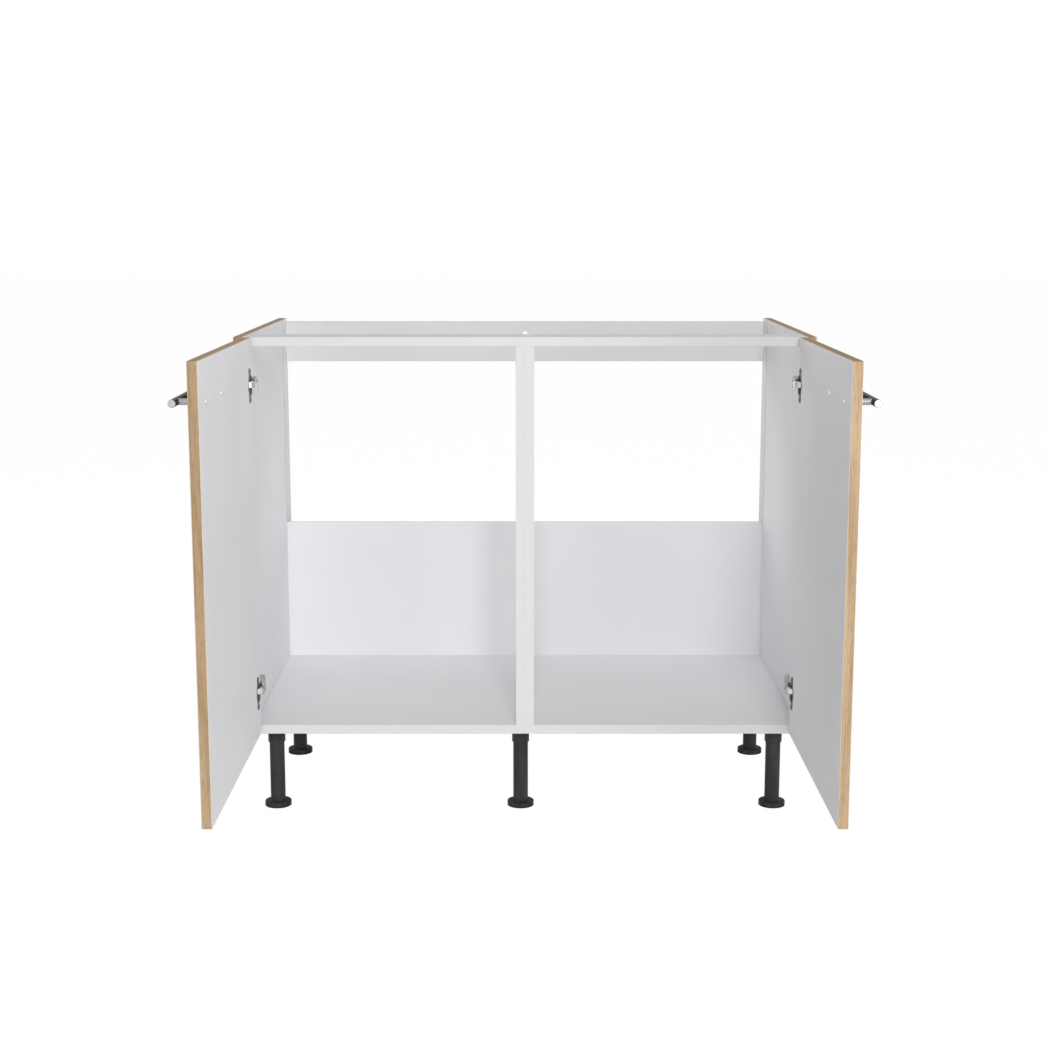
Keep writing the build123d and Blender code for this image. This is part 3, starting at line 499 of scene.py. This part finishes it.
# ---------------------------------------------------------------------------
# Feet: moulded black polypropylene.  A flanged socket is pressed into a hole
# in the bottom panel and takes the leg tube; the foot's threaded spindle
# screws up inside the tube, so that the cabinet can be levelled.
# ---------------------------------------------------------------------------
FEET = ("front_left", "front_middle", "front_right", "rear_left", "rear_right")
SOCKET_LINE = ((0, 162), (3.6, 162), (4.95, 160), (4.95, 150), (26.2, 150), (27, 149.2), (27, 146.8),
               (26.2, 146), (18.2, 146), (16.3, 144.6), (15.5, 142.4), (15.5, 121.2), (14.9, 120),
               (13.45, 120), (13.45, 146), (0, 146))
SOCKET_SIDES = 64
GUSSETS = 8
GUSSET = ((15.2, 146.3), (24.5, 146.3), (15.2, 134))
GUSSET_THICKNESS = 1.2
FOOT_LINE = ((0, 1.6), (18.4, 1.6), (19.2, 0), (23.5, 0), (24, 0.4), (24, 1.1), (22.2, 1.4),
             (22.2, 2.0), (23.9, 2.4), (23.9, 5.0), (23.9, 6.6), (24, 7.6), (23.5, 8.5), (22.0, 9.0),
             (15.6, 9.4), (14.6, 10), (11.2, 10), (10.4, 9.4), (8.6, 9.4), (8.6, 93.0), (7.6, 94),
             (0, 94))
FOOT_COLUMNS = 96      # columns of the mesh round a foot, counted from +X
GAP_COLUMNS = (10, 38, 58, 86)          # middles of the wide gaps that part the blocks of the rim
GAP_REACH = 2          # columns from a gap's middle to its mouth's edge
SLOT_COLUMNS = (23, 71)                 # where a narrow slot is cut in a block
TAB_COLUMNS = (24, 25, 72, 73)          # where a tab beside the slot bridges the rim's groove
GAP_SCALE = 0.89       # of the rim's radius, and so for the next two
SLOT_SCALE = 0.92
TAB_SCALE = 1.075
RIM_RADIUS = 21.5      # points outside this are on the rim
RIM_LOW, RIM_HIGH = 1.2, 7              # the blocks' heights, over the bottom edge and under the top
GROOVE_RADIUS = 23     # points inside this are in the rim's groove
RIBBED = (16, 22)      # radii between which the top is ribbed
RIBBED_ABOVE = 8.4
RIB_HEIGHT = 0.35
SPINDLE_THREAD = ((8.4, 12.5), (10, 13.1), (10, 14.3), (8.4, 14.9))
SPINDLE_PITCH = 4
SPINDLE_TURNS = 19
SPINDLE_STEPS = 32
SOFT_BLACK = ((0.042, 0.042, 0.043, 1), (0.060, 0.060, 0.061, 1))
SHEEN_OF_PLASTIC = 0.04


def black_plastic():
    """Black with a fine eroded texture, a little rubbed."""
    material, nodes, shader, place, _ = new_finish("black_plastic")
    eroded = grain(nodes, place, (1700, 1700, 1700), 2)
    rubbed = grain(nodes, place, (45, 45, 12), 2)
    join(nodes, between(nodes, step(nodes, rubbed, 0.35, 0.75), *SOFT_BLACK), shader, "Base Color")
    shader.inputs["Specular IOR Level"].default_value = SHEEN_OF_PLASTIC
    gloss(nodes, shader, rubbed, 0.34, 0.44)
    join(nodes, bumps(nodes, eroded, 0.00005, 0.5), shader, "Normal")
    return material


def leg_socket():
    """Turned socket with gussets that stiffen its flange."""
    mesh = bmesh.new()
    turned(mesh, SOCKET_LINE, SOCKET_SIDES)
    for i in range(GUSSETS):
        corners = chain(mesh, GUSSET)[:3]
        web = mesh.faces.new(corners)
        grown = bmesh.ops.extrude_face_region(mesh, geom=[web], use_keep_orig=True)["geom"]
        far = [v for v in grown if isinstance(v, bmesh.types.BMVert)]
        bmesh.ops.translate(mesh, verts=far, vec=(0, GUSSET_THICKNESS * MM, 0))
        bmesh.ops.translate(mesh, verts=corners + far, vec=(0, -GUSSET_THICKNESS / 2 * MM, 0))
        bmesh.ops.rotate(mesh, verts=corners + far, cent=(0, 0, 0),
                         matrix=Matrix.Rotation(2 * pi * (i + 0.5) / GUSSETS, 3, "Z"))
    return mesh


def levelling_foot():
    """Disc with a ribbed top over a rim of blocks, and the spindle with its coarse thread."""
    mesh = bmesh.new()
    turned(mesh, FOOT_LINE, FOOT_COLUMNS)

    def polar(point):
        """A point's distance from the axis in mm, and its place round it in columns."""
        return point.xy.length / MM, atan2(point.y, point.x) / (2 * pi) * FOOT_COLUMNS

    reshaped = {GAP_SCALE: [], SLOT_SCALE: [], TAB_SCALE: []}
    for vert in mesh.verts:
        radius, column = polar(vert.co)
        column = round(column) % FOOT_COLUMNS
        if radius < RIM_RADIUS or not RIM_LOW * MM < vert.co.z < RIM_HIGH * MM:
            continue
        if min(abs(column - gap) for gap in GAP_COLUMNS) < GAP_REACH:
            reshaped[GAP_SCALE].append(vert)
        elif column in SLOT_COLUMNS:
            reshaped[SLOT_SCALE].append(vert)
        elif column in TAB_COLUMNS and radius < GROOVE_RADIUS:
            reshaped[TAB_SCALE].append(vert)
    for size, verts in reshaped.items():
        bmesh.ops.scale(mesh, vec=(size, size, 1), verts=verts)
    ribs = []
    for face in mesh.faces:
        middle = face.calc_center_median()
        radius, column = polar(middle)
        on_top = RIBBED[0] < radius < RIBBED[1] and middle.z > RIBBED_ABOVE * MM
        if on_top and floor(column) % 2:
            ribs.append(face)
    raised = bmesh.ops.extrude_discrete_faces(mesh, faces=ribs)["faces"]
    bmesh.ops.translate(mesh, vec=(0, 0, RIB_HEIGHT * MM), verts=[v for f in raised for v in f.verts])
    screwed(mesh, SPINDLE_THREAD, SPINDLE_PITCH, SPINDLE_TURNS, SPINDLE_STEPS)
    return mesh


foot_plastic = black_plastic()
socket_mould = leg_socket()
foot_mould = levelling_foot()
for foot in FEET:
    low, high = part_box("screw_foot_" + foot)
    standing = [Matrix.Translation(((low.x + high.x) / 2, (low.y + high.y) / 2, 0))]
    piece_of(socket_mould, "leg_socket_" + foot, "root", "foot_socket_" + foot,
             foot_plastic, standing)
    wear("leg_tube_" + foot, foot_plastic)
    piece_of(foot_mould, "levelling_foot_" + foot, "foot_" + foot,
             "screw_foot_" + foot, foot_plastic, standing)


# ---------------------------------------------------------------------------
# Concealed hinges: pressed and nickel-plated steel, with a dull drawn cup in
# the door.  An arm on a die-cast plate is screwed to the side, and two
# goose-necked links join it to the cup.  Cross-headed screws fix and adjust.
# ---------------------------------------------------------------------------
SIDES = {"left": -1, "right": 1}
HEIGHTS = {"upper": 0.774, "lower": 0.234}              # of the hinges' middles above the floor
INNER_FACE = 0.484     # inner face of the side panels, from the middle
CUP_HEAD = ((1.9, 1.6), (2.9, 1.45), (3.5, 0.9), (3.6, 0.25), (3.6, 0), (1.25, 0))
PLATE_HEAD = ((2.5, 0), (3.85, 0), (4.0, -0.2), (1.7, -1.6))
ADJUSTING_HEAD = ((2.1, 1.5), (3.2, 1.5), (3.4, 1.3), (3.4, 0), (1.5, 0))
CUP_SCREWS_AT = (17.2, -36.5, 24)       # inboard, behind the front, and above and below the middle
PLATE_SCREWS_AT = (2.5, 37, 16)
ADJUSTING_SCREWS_AT = (14.7, (48, 60))  # inboard, and the two places behind the front
CUP_GREY = ((0.125, 0.125, 0.13, 1), (0.175, 0.175, 0.18, 1))
SHEEN_OF_CUP = 0.30


def on_side(side, inboard, back, up):
    """Where a screw's seat is, given in mm from a side's inner face and the carcass front."""
    return pointing((side * (INNER_FACE - inboard * MM), carcass_front + back * MM, up), (-side, 0, 0))


def dark_grey_cup_finish():
    """The drawn cup in a dark grey, too matt to mirror what is round it."""
    material, nodes, shader, place, _ = new_finish("dark_grey_cup_finish")
    patches = grain(nodes, place, (160, 160, 160), 3)
    drawn = grain(nodes, place, (240, 900, 900), 2)
    join(nodes, between(nodes, patches, *CUP_GREY), shader, "Base Color")
    shader.inputs["Specular IOR Level"].default_value = SHEEN_OF_CUP
    gloss(nodes, shader, drawn, 0.42, 0.58)
    join(nodes, bumps(nodes, drawn, 0.00003, 0.5), shader, "Normal")
    return material


cup_dark_grey = dark_grey_cup_finish()
plate_screw = cross_screw(PLATE_HEAD, root=1.7, crest=2.3, pitch=2.2, length=13.5, grip=11)
adjusting_screw = cross_screw(ADJUSTING_HEAD, root=1.5, crest=1.95, pitch=1, length=8.7, grip=7,
                              arm=1.0, depth=1.1)
cup_screw = cross_screw(CUP_HEAD, root=1.25, crest=1.7, pitch=1.8, length=12.2, grip=11,
                        arm=0.95, depth=1.1)
both_sides = [(side, up) for side in SIDES.values() for up in HEIGHTS.values()]
inboard, back, apart = PLATE_SCREWS_AT
piece_of(plate_screw, "hinge_plate_cross_screws", "root",
         "hinge_plate_screws", bright_steel,
         [on_side(side, inboard, back, up + sign * apart * MM)
          for side, up in both_sides for sign in (-1, 1)])
inboard, backs = ADJUSTING_SCREWS_AT
piece_of(adjusting_screw, "hinge_arm_cross_screws", "root",
         "hinge_adjusting_screws", bright_steel,
         [on_side(side, inboard, back, up) for side, up in both_sides for back in backs])
wear("hinge_arm_pins", bright_steel)
inboard, back, apart = CUP_SCREWS_AT
for name, side in SIDES.items():
    for height in HEIGHTS:
        wear(f"hinge_cup_{name}_{height}", cup_dark_grey)
        for link in ("arm", "outer_link", "inner_link"):
            wear(f"hinge_{link}_{name}_{height}", bright_steel)
    wear("hinge_plates_" + name, cast_zinc)
    wear("hinge_cup_pins_" + name, bright_steel)
    piece_of(cup_screw, "hinge_cup_cross_screws_" + name, "door_" + name,
             "hinge_cup_screws_" + name, cup_dark_grey,
             [on_side(side, inboard, back, up + sign * apart * MM)
              for up in HEIGHTS.values() for sign in (-1, 1)])


# ---------------------------------------------------------------------------
# Doors: the same oak-decor board as the sides, banded on all four edges, with
# white melamine on the face that looks into the cabinet.
# ---------------------------------------------------------------------------
wear("door_left", oak_board("door_left", 1))
wear("door_right", oak_board("door_right", -1))


# ---------------------------------------------------------------------------
# Bar handles: steel rod with a dark satin nickel coat, brushed along its
# length, with its two ends faced bright.  Two posts carry it, and a screw from
# inside the door is drawn up in each post.
# ---------------------------------------------------------------------------
HANDLE_HEAD = ((2.3, 2.2), (3.2, 2.0), (4.0, 1.2), (4.2, 0.4), (4.2, 0), (1.5, 0))
DOOR_FACE = 16         # inner face of an open door, inboard of the side panel's inner face
HANDLE_SCREWS_AT = (-449, -321)         # behind the carcass front
HANDLE_SCREW_HEIGHT = 0.790
SATIN_NICKEL = ((0.25, 0.245, 0.24, 1), (0.16, 0.157, 0.152, 1))
SATIN_SHADE = (0.15, 0.147, 0.14, 1)
SATIN_RIM = 0.33       # see rim in metal()
FACED_NICKEL = ((0.46, 0.455, 0.45, 1), (0.60, 0.595, 0.59, 1))
FACED_DEPTH = 0.0002
POST_NICKEL = ((0.40, 0.395, 0.385, 1), (0.29, 0.285, 0.275, 1))


def brushed_nickel(node_name):
    """Satin coat brushed along Y, with a brighter coat on the faced ends."""
    material, nodes, shader, place, parts = new_finish("satin_nickel_" + node_name)
    low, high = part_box(node_name)
    brushing = grain(nodes, place, (1500, 26, 1500), 3)
    patches = grain(nodes, place, (90, 30, 90), 2)
    colour = between(nodes, step(nodes, brushing, 0.35, 0.65), *SATIN_NICKEL)
    colour = tinted(nodes, colour, patches, 0.25, SATIN_SHADE)
    along = maths(nodes, "SUBTRACT", parts[1], (low.y + high.y) / 2)
    from_middle = maths(nodes, "ABSOLUTE", along)
    faced = maths(nodes, "GREATER_THAN", from_middle, (high.y - low.y) / 2 - FACED_DEPTH)
    bright = between(nodes, grain(nodes, place, (900, 900, 900), 2), *FACED_NICKEL)
    join(nodes, between(nodes, faced, colour, bright), shader, "Base Color")
    shader.inputs["Metallic"].default_value = 1.0
    shader.inputs["Specular Tint"].default_value = (SATIN_RIM, SATIN_RIM, SATIN_RIM, 1)
    gloss(nodes, shader, brushing, 0.26, 0.38)
    join(nodes, bumps(nodes, brushing, 0.00002, 0.5), shader, "Normal")
    return material


handle_screw = cross_screw(HANDLE_HEAD, root=1.6, crest=2.0, pitch=0.8, length=26, grip=20,
                           arm=1.1, depth=1.3)
post_nickel = metal("satin_nickel_posts", *POST_NICKEL, roughness=0.26, mottle=(60, 420, 420),
                    rim=0.3)
for name, side in SIDES.items():
    wear("handle_bar_" + name, brushed_nickel("handle_bar_" + name))
    wear("handle_posts_" + name, post_nickel)
    piece_of(handle_screw, "handle_cross_screws_" + name, "door_" + name,
             "handle_screws_" + name, bright_steel,
             [on_side(side, DOOR_FACE, back, HANDLE_SCREW_HEIGHT) for back in HANDLE_SCREWS_AT])


# ---------------------------------------------------------------------------
# Stage: a white floor, level with the feet when they are screwed right out,
# even studio light with its key from the front, and the camera on the
# cabinet's middle line, tipped down ten degrees.
# ---------------------------------------------------------------------------
CAMERA_PLACE = (0, -3.0461, 1.05825)
CAMERA_TIP = radians(90 - 9.987)
CAMERA_LENS = 60.2
CAMERA_SENSOR = 36
WORLD_LIGHT = 0.31     # of the white that the camera sees
FOOT_TRAVEL = 0.0201   # how far a foot comes down, and so where the floor lies
FLOOR_REACH = 30
FLOOR_WHITE = (0.86, 0.86, 0.86, 1)
FLOOR_GLOW = 1.03      # what is seen is this white, with a share of the lit floor and its shadow
FLOOR_GLOW_SHARE = 0.95
SOFTBOXES = (          # name, place, target, size, watts
    ("key_softbox", (0.3, -5.5, 2.8), (0, 0.3, 0.45), (1.4, 1.2), 150),
    ("low_softbox", (1.5, -2.4, 0.5), (0, 0.1, 0.5), (0.9, 0.7), 13),
    ("side_softbox", (3.2, -1.6, 1.1), (-0.3, -0.2, 0.45), (1.6, 1.4), 9),
    ("rear_left_softbox", (-3.2, 2.0, 1.0), (0, 0.3, 0.45), (1.6, 1.4), 34),
    ("rear_right_softbox", (3.2, 2.0, 1.0), (0, 0.3, 0.45), (1.6, 1.4), 24),
    ("top_softbox", (0, 0.3, 3.2), (0, 0.25, 0.45), (1.6, 1.2), 7),
)

ground_mesh = bpy.data.meshes.new("floor")
sheet = bmesh.new()
bmesh.ops.create_grid(sheet, x_segments=1, y_segments=1, size=FLOOR_REACH)
bmesh.ops.translate(sheet, verts=sheet.verts, vec=(0, 0, -FOOT_TRAVEL))
sheet.to_mesh(ground_mesh)
sheet.free()
ground = bpy.data.objects.new("floor", ground_mesh)
bpy.context.scene.collection.objects.link(ground)


def seen_white(nodes):
    """1 for a ray that should meet a white surrounding: from the camera, or by gloss or glass."""
    rays = add(nodes, "ShaderNodeLightPath", {}).outputs
    mirrored = maths(nodes, "MAXIMUM", rays["Is Glossy Ray"], rays["Is Transmission Ray"])
    return maths(nodes, "MAXIMUM", rays["Is Camera Ray"], mirrored)


paper, nodes, shader, _, _ = new_finish("white_floor")
shader.inputs["Base Color"].default_value = FLOOR_WHITE
shader.inputs["Roughness"].default_value = 0.9
shader.inputs["Specular IOR Level"].default_value = 0.0
glow = add(nodes, "ShaderNodeEmission", {"Color": (1, 1, 1, 1), "Strength": FLOOR_GLOW})
seen = maths(nodes, "MULTIPLY", seen_white(nodes), FLOOR_GLOW_SHARE)
mixed = add(nodes, "ShaderNodeMixShader", {0: seen, 1: shader.outputs[0], 2: glow.outputs[0]})
join(nodes, mixed.outputs[0], nodes["Material Output"], "Surface")
ground_mesh.materials.append(paper)

world = bpy.data.worlds.new("studio")
world.use_nodes = True
nodes = world.node_tree.nodes
nodes["Background"].inputs["Color"].default_value = (1, 1, 1, 1)
join(nodes, blend(nodes, seen_white(nodes), WORLD_LIGHT, 1.0), nodes["Background"], "Strength")
bpy.context.scene.world = world

for name, place, target, size, watts in SOFTBOXES:
    lamp = bpy.data.lights.new(name, "AREA")
    lamp.shape = "RECTANGLE"
    lamp.size, lamp.size_y = size
    lamp.energy = watts
    holder = bpy.data.objects.new(name, lamp)
    holder.location = place
    holder.rotation_euler = (Vector(target) - Vector(place)).to_track_quat("-Z", "Y").to_euler()
    bpy.context.scene.collection.objects.link(holder)

camera_data = bpy.data.cameras.new("camera")
camera_data.lens = CAMERA_LENS
camera_data.sensor_width = CAMERA_SENSOR
camera = bpy.data.objects.new("camera", camera_data)
camera.location = CAMERA_PLACE
camera.rotation_euler = (CAMERA_TIP, 0, 0)
bpy.context.scene.collection.objects.link(camera)
bpy.context.scene.camera = camera
bpy.context.scene.view_settings.view_transform = "Standard"
